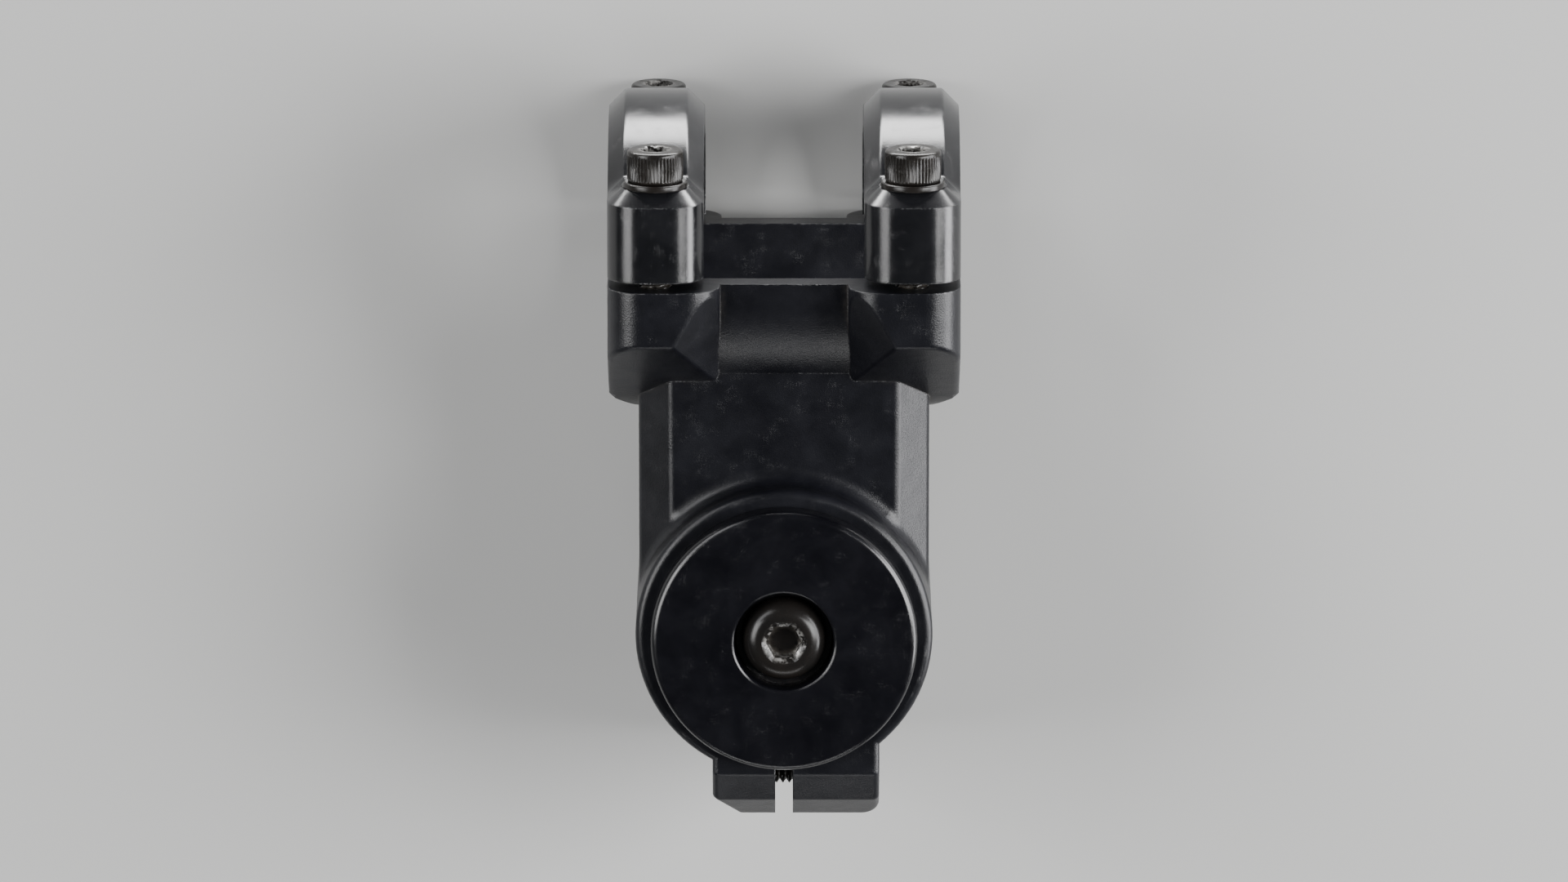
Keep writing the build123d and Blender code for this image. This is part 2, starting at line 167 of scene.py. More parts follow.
class StemStageSettings(bpy.types.PropertyGroup):
    """Camera, floor and lights."""
    distance: bpy.props.FloatProperty(
        name="Camera Distance", description="Camera to the middle of the stem",
        default=1.38, unit="LENGTH")
    tilt: bpy.props.FloatProperty(
        name="Camera Tilt", description="Camera ahead of straight above",
        default=math.radians(13.5), subtype="ANGLE")
    lens: bpy.props.FloatProperty(
        name="Lens", description="Focal length in millimetres", default=250.0)
    floor: bpy.props.FloatVectorProperty(
        name="Floor", description="Colour of the floor",
        size=4, subtype="COLOR", default=(0.31, 0.31, 0.305, 1))


GROUPS = {
    "stem_screw_sizes": StemScrewSizes,
    "stem_finish_colours": StemFinishColours,
    "stem_stage_settings": StemStageSettings,
}


# Node building

class Tree:
    """Adds nodes to a tree and links them. A value is a number, a vector or an output."""

    def __init__(self, tree):
        self.tree = tree

    def add(self, kind, inputs=None, **settings):
        node = self.tree.nodes.new(kind)
        for key, value in settings.items():
            setattr(node, key, value)
        for key, value in (inputs or {}).items():
            self.put(value, node.inputs[key])
        return node

    def put(self, value, socket):
        if isinstance(value, bpy.types.NodeSocket):
            self.tree.links.new(value, socket)
        else:
            socket.default_value = value

    def math(self, operation, a, b=0.0, c=0.0, clamp=False):
        node = self.add("ShaderNodeMath", {0: a, 1: b, 2: c}, operation=operation,
                        use_clamp=clamp)
        return node.outputs[0]

    def vector(self, operation, a, b=(0, 0, 0)):
        node = self.add("ShaderNodeVectorMath", {0: a, 1: b}, operation=operation)
        return node.outputs["Value" if operation in {"LENGTH", "DOT_PRODUCT"} else "Vector"]

    def noise(self, place, scale, detail=3.0, roughness=0.5, distortion=0.0):
        node = self.add("ShaderNodeTexNoise", {
            "Vector": place, "Scale": scale, "Detail": detail,
            "Roughness": roughness, "Distortion": distortion})
        return node.outputs[0]

    def ramp(self, value, low, high, to_low=0.0, to_high=1.0):
        node = self.add("ShaderNodeMapRange", {
            "Value": value, "From Min": low, "From Max": high,
            "To Min": to_low, "To Max": to_high})
        return node.outputs[0]

    def blend(self, factor, a, b):
        node = self.add("ShaderNodeMix", {0: factor, 6: a, 7: b}, data_type="RGBA")
        return node.outputs[2]

    def mix(self, factor, a, b):
        node = self.add("ShaderNodeMix", {0: factor, 2: a, 3: b}, data_type="FLOAT")
        return node.outputs[0]


def built_once(name):
    """Keeps the node group that a function builds, so later calls get the same one."""
    def keep(build):
        def get():
            return bpy.data.node_groups.get(name) or build(name)
        return get
    return keep


def new_group(name, kind, inputs, outputs):
    """Empty node group with named sockets: (name, type, default) in and (name, type) out."""
    group = bpy.data.node_groups.new(name, kind)
    for label, socket_type, default in inputs:
        socket = group.interface.new_socket(label, in_out="INPUT", socket_type=socket_type)
        if default is not None:
            socket.default_value = default
    for label, socket_type in outputs:
        group.interface.new_socket(label, in_out="OUTPUT", socket_type=socket_type)
    tree = Tree(group)
    entry = tree.add("NodeGroupInput")
    return group, tree, entry.outputs, tree.add("NodeGroupOutput")


# Geometry Nodes: a turned part, spun from its profile

@built_once("turned_part")
def turned_tree(name):
    """Spins a profile round Z. Rows can take a hexagon's shape, knurls or a helical thread."""
    group, t, given, out = new_group(name, "GeometryNodeTree", [
        ("Profile", "NodeSocketGeometry", None),
        ("Segments", "NodeSocketInt", 48),
        ("Knurls", "NodeSocketInt", 48),
        ("Knurl Depth", "NodeSocketFloat", 0.0001),
        ("Thread Pitch", "NodeSocketFloat", 0.001),
        ("Thread Depth", "NodeSocketFloat", 0.0005),
        ("Finish", "NodeSocketMaterial", None),
    ], [("Part", "NodeSocketGeometry")])
    size = t.add("GeometryNodeAttributeDomainSize", {"Geometry": given["Profile"]},
                 component="MESH")
    round_count = t.math("ADD", given["Segments"], 1.0)
    grid = t.add("GeometryNodeMeshGrid", {
        "Size X": 1.0, "Size Y": 1.0,
        "Vertices X": size.outputs["Point Count"], "Vertices Y": round_count})
    index = t.add("GeometryNodeInputIndex").outputs[0]
    level = t.math("FLOOR", t.math("DIVIDE", t.math("ADD", index, 0.5), round_count))
    column = t.math("SUBTRACT", index, t.math("MULTIPLY", level, round_count))
    turn = t.math("DIVIDE", column, given["Segments"])
    angle = t.math("MULTIPLY", turn, math.tau)

    def sampled(data_type, value):
        node = t.add("GeometryNodeSampleIndex", {
            "Geometry": given["Profile"], "Value": value, "Index": level}, data_type=data_type)
        return node.outputs[0]

    def named(label):
        node = t.add("GeometryNodeInputNamedAttribute", {"Name": label}, data_type="FLOAT")
        return sampled("FLOAT", node.outputs["Attribute"])

    place = sampled("FLOAT_VECTOR", t.add("GeometryNodeInputPosition").outputs[0])
    parts = t.add("ShaderNodeSeparateXYZ", {0: place}).outputs
    flat = t.math("SUBTRACT", t.math("MODULO", angle, math.pi / 3), math.pi / 6)
    hexagon = t.math("DIVIDE", parts[0], t.math("COSINE", flat))
    radius = t.mix(named("hexagon"), parts[0], hexagon)
    ridge = t.math("COSINE", t.math("MULTIPLY", angle, given["Knurls"]))
    groove = t.math("MULTIPLY_ADD", ridge, -0.5, 0.5)
    groove = t.math("MULTIPLY", groove, t.math("MULTIPLY", named("knurl"), given["Knurl Depth"]))
    radius = t.math("SUBTRACT", radius, groove)
    phase = t.math("SUBTRACT", t.math("DIVIDE", parts[2], given["Thread Pitch"]), turn)
    wave = t.math("ABSOLUTE", t.math("MULTIPLY_ADD", t.math("FRACT", phase), 2.0, -1.0))
    wave = t.ramp(wave, *THREAD_FLATS)
    cut = t.math("MULTIPLY", wave, t.math("MULTIPLY", named("thread"), given["Thread Depth"]))
    radius = t.math("SUBTRACT", radius, cut)
    spun = t.add("ShaderNodeCombineXYZ", {
        0: t.math("MULTIPLY", radius, t.math("COSINE", angle)),
        1: t.math("MULTIPLY", radius, t.math("SINE", angle)),
        2: parts[2]}).outputs[0]
    placed = t.add("GeometryNodeSetPosition", {"Geometry": grid.outputs["Mesh"], "Position": spun})
    closed = t.add("GeometryNodeMergeByDistance", {
        "Geometry": placed.outputs[0], "Distance": WELD})
    real = t.add("GeometryNodeRealizeInstances", {"Geometry": closed.outputs[0]})
    done = t.add("GeometryNodeSetMaterial", {
        "Geometry": real.outputs[0], "Material": given["Finish"]})
    t.put(done.outputs[0], out.inputs["Part"])
    return group


def set_input(modifier, label, value):
    """Sets a Geometry Nodes modifier's input by its socket's identifier."""
    for item in modifier.node_group.interface.items_tree:
        if item.item_type == "SOCKET" and item.in_out == "INPUT" and item.name == label:
            modifier[item.identifier] = value
            return
    raise KeyError(label)


def profile_mesh(rows):
    """Line of vertices (radius, height) in metres with the tree's attributes."""
    mesh = bpy.data.meshes.new("profile")
    edges = [(i, i + 1) for i in range(len(rows) - 1)]
    mesh.from_pydata([(point[0], 0, point[1]) for point in rows], edges, [])
    for place, label in enumerate(MARKS, start=2):
        attribute = mesh.attributes.new(label, "FLOAT", "POINT")
        attribute.data.foreach_set("value", [float(point[place]) for point in rows])
    return mesh


def spin(rows, segments, finish, pitch=MM, thread_depth=0.0, knurls=48, knurl_depth=0.0):
    """Plain mesh spun from a profile's rows by the turned_part tree."""
    holder = bpy.data.objects.new("holder", profile_mesh(rows))
    bpy.context.scene.collection.objects.link(holder)
    modifier = holder.modifiers.new("turned", "NODES")
    modifier.node_group = turned_tree()
    for label, value in (("Segments", segments), ("Knurls", knurls),
                         ("Knurl Depth", knurl_depth), ("Thread Pitch", pitch),
                         ("Thread Depth", thread_depth), ("Finish", finish)):
        set_input(modifier, label, value)
    view = bpy.context.evaluated_depsgraph_get()
    mesh = bpy.data.meshes.new_from_object(holder.evaluated_get(view))
    holder.modifiers.remove(modifier)
    base = holder.data
    bpy.data.objects.remove(holder)
    bpy.data.meshes.remove(base)
    for label in MARKS:
        if label in mesh.attributes:
            mesh.attributes.remove(mesh.attributes[label])
    return mesh


def row(radius, height, hexagon=0.0, knurl=0.0, thread=0.0):
    """One row of a profile. Radius and height are given in millimetres."""
    return (radius * MM, height * MM, hexagon, knurl, thread)


def arc(centre, radius, start, end, steps, **marks):
    """Rows along an arc in the profile's plane. Angles are in degrees from outward."""
    rows = []
    for k in range(steps + 1):
        angle = math.radians(start + (end - start) * k / steps)
        rows.append(row(centre[0] + radius * math.cos(angle),
                        centre[1] + radius * math.sin(angle), **marks))
    return rows


def face_outward(mesh):
    """Turns the faces of one closed mesh outward."""
    shell = bmesh.new()
    shell.from_mesh(mesh)
    bmesh.ops.recalc_face_normals(shell, faces=shell.faces)
    if shell.calc_volume(signed=True) < 0:
        bmesh.ops.reverse_faces(shell, faces=shell.faces)
    shell.to_mesh(mesh)
    shell.free()


def placed_object(name, meshes, seat, axis, finish):
    """One object from several closed meshes, standing at seat with its own +Z along axis."""
    turn = UP.rotation_difference(axis).to_matrix().to_4x4()
    whole = bmesh.new()
    for mesh in meshes:
        face_outward(mesh)
        whole.from_mesh(mesh)
        bpy.data.meshes.remove(mesh)
    whole.transform(Matrix.Translation(seat) @ turn)
    data = bpy.data.meshes.new(name)
    whole.to_mesh(data)
    whole.free()
    data.materials.clear()
    data.materials.append(finish)
    data.polygons.foreach_set("material_index", [0] * len(data.polygons))
    data.shade_smooth()
    data.set_sharp_from_angle(angle=SHARP_ANGLE)
    piece = bpy.data.objects.new(name, data)
    bpy.context.scene.collection.objects.link(piece)
    return piece


def stand_for(piece, node):
    """The piece rides on the CAD node's body and is shown in its place."""
    body = next(name for name, members in BODIES.items() if node in members)
    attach(piece, body)
    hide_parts(node)


# Shader groups

@built_once("blasted_grain")
def grain_group(name):
    """Fine blasted grain, slow mottle and the waviness of a forging. Place is in millimetres."""
    group, t, given, out = new_group(name, "ShaderNodeTree", [
        ("Place", "NodeSocketVector", None),
        ("Grain Size", "NodeSocketFloat", 0.12),
    ], [("Height", "NodeSocketFloat"), ("Mottle", "NodeSocketFloat"),
        ("Wave", "NodeSocketFloat")])
    fine = t.noise(given["Place"], t.math("DIVIDE", 1.0, given["Grain Size"]), 2.0, 0.6)
    pits = t.add("ShaderNodeTexVoronoi", {
        "Vector": given["Place"],
        "Scale": t.math("DIVIDE", 0.55, given["Grain Size"])}, feature="F1").outputs["Distance"]
    t.put(t.math("MULTIPLY_ADD", pits, 0.6, fine), out.inputs["Height"])
    slow = t.noise(given["Place"], 0.22, 4.0, 0.55, 0.3)
    t.put(t.ramp(slow, 0.3, 0.7), out.inputs["Mottle"])
    t.put(t.noise(given["Place"], 0.3, 1.0), out.inputs["Wave"])
    return group


@built_once("worn_edges")
def edge_group(name):
    """Mask of convex edges that handling has worn, broken up by noise."""
    group, t, given, out = new_group(name, "ShaderNodeTree", [
        ("Place", "NodeSocketVector", None),
        ("Width", "NodeSocketFloat", 0.0004),
        ("Amount", "NodeSocketFloat", 0.5),
    ], [("Mask", "NodeSocketFloat")])
    soft = t.add("ShaderNodeBevel", {"Radius": given["Width"]}, samples=6).outputs[0]
    sharp = t.add("ShaderNodeNewGeometry").outputs["Normal"]
    bend = t.math("SUBTRACT", 1.0, t.vector("DOT_PRODUCT", soft, sharp))
    edge = t.ramp(bend, 0.015, 0.16)
    patch = t.ramp(t.noise(given["Place"], 0.35, 5.0, 0.62), 0.42, 0.66)
    nick = t.ramp(t.noise(given["Place"], 3.1, 3.0, 0.7), 0.46, 0.62)
    mask = t.math("MULTIPLY", edge, t.math("MULTIPLY", patch, nick))
    t.put(t.math("MULTIPLY", mask, given["Amount"], clamp=True), out.inputs["Mask"])
    return group


@built_once("hair_scratches")
def scratch_group(name):
    """Sparse hair scratches and rub marks, as a mask."""
    group, t, given, out = new_group(name, "ShaderNodeTree", [
        ("Place", "NodeSocketVector", None),
        ("Amount", "NodeSocketFloat", 0.5),
    ], [("Mask", "NodeSocketFloat")])
    masks = []
    for turn, stretch in (((0.3, 0.2, 0.7), (0.16, 3.4, 0.9)), ((1.1, 0.6, 2.3), (3.0, 0.2, 0.8))):
        mapped = t.add("ShaderNodeMapping", {
            "Vector": given["Place"], "Rotation": turn, "Scale": stretch}).outputs[0]
        line = t.noise(mapped, 2.2, 2.0, 0.5, 0.15)
        thin = t.math("ABSOLUTE", t.math("SUBTRACT", line, 0.5))
        masks.append(t.ramp(thin, 0.006, 0.0))
    both = t.math("MAXIMUM", masks[0], masks[1])
    where = t.ramp(t.noise(given["Place"], 0.5, 2.0), 0.52, 0.68)
    mask = t.math("MULTIPLY", both, t.math("MULTIPLY", where, given["Amount"]), clamp=True)
    t.put(mask, out.inputs["Mask"])
    return group


@built_once("turned_rings")
def ring_group(name):
    """Concentric tool marks of a lathe round an axis. Place is measured from that axis."""
    group, t, given, out = new_group(name, "ShaderNodeTree", [
        ("Place", "NodeSocketVector", None),
        ("Axis", "NodeSocketVector", (0, 0, 1)),
        ("Spacing", "NodeSocketFloat", 0.09),
    ], [("Height", "NodeSocketFloat")])
    along = t.vector("DOT_PRODUCT", given["Place"], given["Axis"])
    shift = t.add("ShaderNodeVectorMath", {0: given["Axis"], "Scale": along},
                  operation="SCALE").outputs[0]
    radius = t.vector("LENGTH", t.vector("SUBTRACT", given["Place"], shift))
    walk = t.math("ADD", radius, along)
    line = t.math("DIVIDE", walk, given["Spacing"])
    comb = t.add("ShaderNodeCombineXYZ", {0: line}).outputs[0]
    t.put(t.noise(comb, 1.0, 4.0, 0.6), out.inputs["Height"])
    return group


@built_once("road_dust")
def dust_group(name):
    """Dust that gathers in hollows and on ledges."""
    group, t, given, out = new_group(name, "ShaderNodeTree", [
        ("Place", "NodeSocketVector", None),
        ("Reach", "NodeSocketFloat", 0.0016),
        ("Amount", "NodeSocketFloat", 0.4),
    ], [("Mask", "NodeSocketFloat")])
    open_sky = t.add("ShaderNodeAmbientOcclusion", {"Distance": given["Reach"]},
                     samples=6, only_local=True).outputs["AO"]
    hollow = t.ramp(open_sky, 0.82, 0.35)
    patch = t.ramp(t.noise(given["Place"], 0.9, 5.0, 0.65), 0.35, 0.7)
    mask = t.math("MULTIPLY", t.math("MULTIPLY", hollow, patch), given["Amount"], clamp=True)
    t.put(mask, out.inputs["Mask"])
    return group


def millimetres(t, centre=(0, 0, 0)):
    """Object coordinates in millimetres, measured from centre, which is in metres."""
    place = t.add("ShaderNodeTexCoord").outputs["Object"]
    shifted = t.vector("SUBTRACT", place, centre)
    return t.add("ShaderNodeVectorMath", {0: shifted, "Scale": 1000.0},
                 operation="SCALE").outputs[0]


def use(t, group, **inputs):
    """Places a shader group and returns its outputs."""
    node = t.tree.nodes.new("ShaderNodeGroup")
    node.node_tree = group
    for key, value in inputs.items():
        t.put(value, node.inputs[key.replace("_", " ").title()])
    return node.outputs


def new_material(name):
    """Material with a bare Principled shader, its tree and that shader."""
    found = bpy.data.materials.get(name)
    if found:
        return found, None, None
    material = bpy.data.materials.new(name)
    material.use_nodes = True
    t = Tree(material.node_tree)
    return material, t, material.node_tree.nodes["Principled BSDF"]


def tinted(colour, shares):
    """A colour with its red, green and blue multiplied by shares."""
    return (*(c * share for c, share in zip(colour, shares)), 1)


def bump(t, height, distance, strength, normal=None):
    """Normal raised by a height. Distance is in metres."""
    inputs = {"Height": height, "Distance": distance, "Strength": strength}
    if normal is not None:
        inputs["Normal"] = normal
    return t.add("ShaderNodeBump", inputs).outputs[0]


def anodised(name, colour, rough, specular, grain_size, grain_depth, wear, dust, rings=None):
    """Black anodised aluminium. rings is (centre, axis, spacing, depth) of lathe marks."""
    material, t, shader = new_material(name)
    if t is None:
        return material
    colours = bpy.context.scene.stem_finish_colours
    place = millimetres(t)
    grain = use(t, grain_group(), place=place, grain_size=grain_size)
    worn = use(t, edge_group(), place=place, width=0.00035, amount=wear)["Mask"]
    lines = use(t, scratch_group(), place=place, amount=0.35)["Mask"]
    dirt = use(t, dust_group(), place=place, amount=dust)["Mask"]
    bare = tuple(colours.bare)
    lighter = (*(c * 1.6 + 0.0006 for c in colour[:3]), 1)
    base = t.blend(grain["Mottle"], tuple(colour), lighter)
    base = t.blend(t.math("MULTIPLY", lines, 0.05), base, bare)
    base = t.blend(worn, base, bare)
    base = t.blend(dirt, base, tuple(colours.dust))
    t.put(base, shader.inputs["Base Color"])
    t.put(t.math("MULTIPLY", worn, 0.85), shader.inputs["Metallic"])
    roughness = t.ramp(grain["Mottle"], 0.0, 1.0, rough - 0.03, rough + 0.04)
    roughness = t.math("ADD", roughness, t.math("MULTIPLY", lines, 0.12))
    roughness = t.mix(dirt, roughness, 0.85)
    t.put(roughness, shader.inputs["Roughness"])
    rounded = t.add("ShaderNodeBevel", {"Radius": 0.0003}, samples=4).outputs[0]
    normal = bump(t, grain["Wave"], grain_depth * 3, 0.6, rounded)
    normal = bump(t, grain["Height"], grain_depth, 0.55, normal)
    if rings:
        centre, axis, spacing, depth = rings
        marks = use(t, ring_group(), place=millimetres(t, centre), axis=axis, spacing=spacing)
        normal = bump(t, marks["Height"], depth, 0.6, normal)
    normal = bump(t, t.math("MULTIPLY", t.math("ADD", lines, worn), -1.0), 0.00002, 0.5, normal)
    t.put(normal, shader.inputs["Normal"])
    shader.inputs["Specular IOR Level"].default_value = specular
    return material


def black_oxide(name, centre, axis, socket_reach):
    """Black oxide steel of one screw or washer, rubbed bright round its socket."""
    material, t, shader = new_material(name)
    if t is None:
        return material
    colours = bpy.context.scene.stem_finish_colours
    place = millimetres(t)
    own = millimetres(t, centre)
    grain = use(t, grain_group(), place=place, grain_size=0.09)
    worn = use(t, edge_group(), place=place, width=0.00022, amount=0.5)["Mask"]
    lines = use(t, scratch_group(), place=place, amount=0.6)["Mask"]
    dirt = use(t, dust_group(), place=place, reach=0.0012, amount=0.5)["Mask"]
    rings = use(t, ring_group(), place=own, axis=axis, spacing=0.07)["Height"]
    along = t.vector("DOT_PRODUCT", own, axis)
    reach = t.vector("LENGTH", own)
    radius = t.math("SQRT", t.math("MAXIMUM", t.math(
        "SUBTRACT", t.math("MULTIPLY", reach, reach), t.math("MULTIPLY", along, along)), 0.0))
    ring = t.math("MULTIPLY", t.ramp(radius, socket_reach + 0.45, socket_reach),
                  t.ramp(radius, socket_reach - 0.5, socket_reach - 0.25))
    near = t.math("MULTIPLY", ring, t.ramp(along, 0.4, 1.2))
    rubbed = t.math("MULTIPLY", near, t.ramp(t.noise(place, 1.6, 4.0, 0.6), 0.45, 0.62))
    bright = t.math("MAXIMUM", worn, t.math("MULTIPLY", rubbed, 0.35))
    brown = tinted(colours.oxide, (1.6, 1.35, 1.15))
    base = t.blend(grain["Mottle"], tuple(colours.oxide), brown)
    base = t.blend(bright, base, tuple(colours.steel))
    base = t.blend(dirt, base, tuple(colours.dust))
    t.put(base, shader.inputs["Base Color"])
    t.put(t.math("MULTIPLY", bright, 0.9), shader.inputs["Metallic"])
    shader.inputs["Specular IOR Level"].default_value = 0.22
    roughness = t.ramp(grain["Mottle"], 0.0, 1.0, 0.2, 0.3)
    roughness = t.math("SUBTRACT", roughness, t.math("MULTIPLY", bright, 0.08))
    roughness = t.mix(dirt, t.math("ADD", roughness, t.math("MULTIPLY", lines, 0.15)), 0.8)
    t.put(roughness, shader.inputs["Roughness"])
    normal = bump(t, grain["Height"], 0.000012, 0.5)
    normal = bump(t, rings, 0.00001, 0.5, normal)
    t.put(normal, shader.inputs["Normal"])
    return material


def zinc_plate(name):
    """Zinc plated steel of the star nut, slightly yellow and dull."""
    material, t, shader = new_material(name)
    if t is None:
        return material
    colours = bpy.context.scene.stem_finish_colours
    place = millimetres(t)
    grain = use(t, grain_group(), place=place, grain_size=0.2)
    dirt = use(t, dust_group(), place=place, amount=0.6)["Mask"]
    lines = use(t, scratch_group(), place=place, amount=0.8)["Mask"]
    cloudy = tinted(colours.zinc, (0.62, 0.58, 0.5))
    base = t.blend(grain["Mottle"], tuple(colours.zinc), cloudy)
    base = t.blend(dirt, base, tuple(colours.dust))
    t.put(base, shader.inputs["Base Color"])
    t.put(t.mix(dirt, 1.0, 0.1), shader.inputs["Metallic"])
    roughness = t.ramp(grain["Mottle"], 0.0, 1.0, 0.26, 0.46)
    t.put(t.math("ADD", roughness, t.math("MULTIPLY", lines, 0.15)), shader.inputs["Roughness"])
    t.put(bump(t, grain["Height"], 0.00002, 0.5), shader.inputs["Normal"])
    return material


def finish_node(node, material):
    """Gives a carried-over CAD node its finish."""
    mesh = NODES[node].data
    mesh.materials.clear()
    mesh.materials.append(material)


# Profiles of the turned pieces, in millimetres, head up with the seat at height 0

def shank_rows(radius, length, pitch, top):
    """Threaded shank from its chamfered tip up to its plain neck inside the head."""
    sizes = bpy.context.scene.stem_screw_sizes
    step = pitch / sizes.rows_per_turn
    tip, fade_rows = 0.62, 7
    start = -length + tip
    rows = [row(0, -length), row(radius * 0.66, -length), row(radius * 0.78, -length + 0.12),
            row(radius * 0.93, -length + 0.42, thread=0.5)]
    count = int((length - tip - 1.6 * pitch) / step)
    rows += [row(radius, start + k * step, thread=1.0) for k in range(count + 1)]
    runout = start + count * step
    rows += [row(radius, runout + k * step, thread=1 - k / fade_rows)
             for k in range(1, fade_rows)]
    rows += [row(radius, -0.25), row(radius, top), row(0, top)]
    return rows


def threaded_shank(radius, length, pitch, finish):
    """Mesh of a shank. Its pitch is in metres, the rest in millimetres."""
    sizes = bpy.context.scene.stem_screw_sizes
    rows = shank_rows(radius, length, pitch / MM, SHANK_IN_HEAD)
    return spin(rows, sizes.shank_segments, finish, pitch=pitch,
                thread_depth=pitch * sizes.thread_depth)


def socket_rows(top, socket, depth, rim, lead=0.13):
    """Top face in to a hexagon socket with a round lead-in and a drilled bottom."""
    flats = socket / 2
    corner = flats / math.cos(math.pi / 6)
    drop = 0.12 + lead * 0.6
    return [
        row(rim, top), row(corner + lead, top), row(flats + 0.03, top - drop, hexagon=1),
        row(flats, top - drop - 0.06, hexagon=1), row(flats, top - depth + 0.15, hexagon=1),
        row(flats - 0.12, top - depth, hexagon=1), row(flats * 0.55, top - depth),
        row(0, top - depth - 0.28),
    ]


def across(node, axis):
    """A turned node's middle, its length along an axis and its radius, in metres."""
    low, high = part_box(node)
    size = high - low
    line = Vector([abs(value) for value in axis])
    length = size.dot(line)
    return (low + high) / 2, length, max(size - line * length) / 2


def cap_screw(node, axis, radius, head_height, socket, pitch):
    """Socket head cap screw with a knurled head, made where the CAD has its plain one."""
    sizes = bpy.context.scene.stem_screw_sizes
    middle, total, head = across(node, axis)
    head, total = head / MM, total / MM
    seat = middle + axis * (total / 2 - head_height) * MM
    finish = black_oxide(f"{node}_oxide", tuple(seat), tuple(axis), socket / 2 + 0.3)
    on = {"knurl": 1.0}
    rim = head * 0.13
    rows = [row(0, 0), row(head - 0.28, 0), row(head - 0.1, 0.1), row(head, 0.34),
            row(head, 0.5, **on), row(head, head_height * 0.45, **on),
            row(head, head_height - rim - 0.35, **on), row(head, head_height - rim - 0.15)]
    rows += arc((head - rim, head_height - rim), rim, 8, 90, 6)
    rows += socket_rows(head_height, socket, head_height * 0.5, head - rim - 0.2)
    meshes = [
        spin(rows, sizes.knurls * 6, finish, knurls=sizes.knurls, knurl_depth=sizes.knurl_depth),
        threaded_shank(radius, total - head_height, pitch, finish),
    ]
    piece = placed_object(f"{node}_threaded", meshes, seat, axis, finish)
    stand_for(piece, node)


def flat_washer(node, axis, inner):
    """Washer with rounded rims, made where the CAD has its plain one."""
    middle, thick, outer = across(node, axis)
    finish = black_oxide(f"{node}_oxide", tuple(middle), tuple(axis), 0.0)
    seat = middle - axis * thick / 2
    thick, outer = thick / MM, outer / MM
    rows = [row(inner, 0.12), row(inner + 0.12, 0), row(outer - 0.13, 0)]
    rows += arc((outer - 0.18, 0.18), 0.18, -70, 0, 4)
    rows += arc((outer - 0.25, thick - 0.25), 0.25, 0, 90, 5)
    rows += [row(inner + 0.2, thick), row(inner + 0.05, thick - 0.08), row(inner, thick - 0.2),
             row(inner, 0.12)]
    piece = placed_object(f"{node}_rounded", [spin(rows, 96, finish)], seat, axis, finish)
    stand_for(piece, node)


# Operators

class STEM_OT_body_finish(bpy.types.Operator):
    """Give the forged body its blasted black anodising"""
    bl_idname = "stem.body_finish"
    bl_label = "Finish Body"

    def execute(self, context):
        colours = context.scene.stem_finish_colours
        finish = anodised("body_blasted_black", colours.body, rough=0.31, specular=0.26,
                          grain_size=0.13, grain_depth=0.00003, wear=0.3, dust=0.2)
        finish_node("stem_body", finish)
        return {"FINISHED"}


class STEM_OT_strap_finish(bpy.types.Operator):
    """Give the two handlebar straps their smooth black anodising"""
    bl_idname = "stem.strap_finish"
    bl_label = "Finish Straps"

    def execute(self, context):
        colours = context.scene.stem_finish_colours
        finish = anodised("strap_smooth_black", colours.strap, rough=0.2, specular=0.45,
                          grain_size=0.1, grain_depth=0.000008, wear=0.35, dust=0.15)
        for side in ("left", "right"):
            finish_node(f"{side}_bar_strap", finish)
        return {"FINISHED"}


class STEM_OT_strap_screws(bpy.types.Operator):
    """Make the four knurled, threaded screws of the straps and their washers"""
    bl_idname = "stem.strap_screws"
    bl_label = "Make Strap Screws"

    def execute(self, context):
        sizes = context.scene.stem_screw_sizes
        for node in STRAP_SCREWS:
            cap_screw(node, FORWARD, STRAP_SHANK, STRAP_HEAD, sizes.strap_socket / MM,
                      sizes.strap_pitch)
            flat_washer(node.replace("_screw", "_washer"), FORWARD, STRAP_WASHER_HOLE)
        return {"FINISHED"}


class STEM_OT_pinch_screws(bpy.types.Operator):
    """Make the two screws across the slit and their washers"""
    bl_idname = "stem.pinch_screws"
    bl_label = "Make Pinch Screws"

    def execute(self, context):
        sizes = context.scene.stem_screw_sizes
        for node in PINCH_SCREWS:
            cap_screw(node, RIGHT, PINCH_SHANK, PINCH_HEAD, sizes.socket / MM,
                      sizes.pinch_pitch)
            flat_washer(node.replace("_screw", "_washer"), RIGHT, PINCH_WASHER_HOLE)
        return {"FINISHED"}


